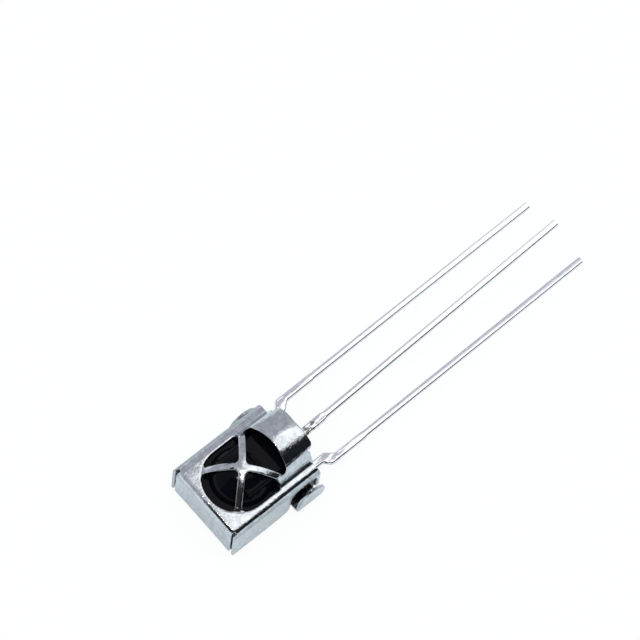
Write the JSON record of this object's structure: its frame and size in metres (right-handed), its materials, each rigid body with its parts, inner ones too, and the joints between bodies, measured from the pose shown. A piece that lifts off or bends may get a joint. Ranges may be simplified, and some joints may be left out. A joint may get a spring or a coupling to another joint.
{
  "type": "infrared receiver module",
  "caption": "Through-hole infrared remote-control receiver: black epoxy lens body in a folded tinned shield can with a crossed window grid and bare leads.",
  "frame": {"origin": "on the outer face of the back plate, straight under the axis of the lens", "axes": "+Z out of the lens, normal to the back plate; the leads run toward -Y; +X across the leads toward the supply lead"},
  "size_m": [0.0068, 0.0298, 0.0051],
  "materials": {
    "tinned_sheet": "bright tin plate",
    "black_epoxy": "gloss, infrared-clear",
    "tinned_lead": "bright tin",
    "silicon": "polished",
    "die_adhesive": "silver-filled, dull",
    "gold": "bright wire"
  },
  "bodies": {
    "root": {"shield_can": "tinned_sheet", "epoxy_body": "black_epoxy", "lead_output": "tinned_lead", "lead_ground": "tinned_lead", "lead_supply": "tinned_lead", "photodiode_die": "silicon", "amplifier_die": "silicon", "photodiode_adhesive": "die_adhesive", "amplifier_adhesive": "die_adhesive", "bond_wires": "gold"}
  },
  "joints": []
}
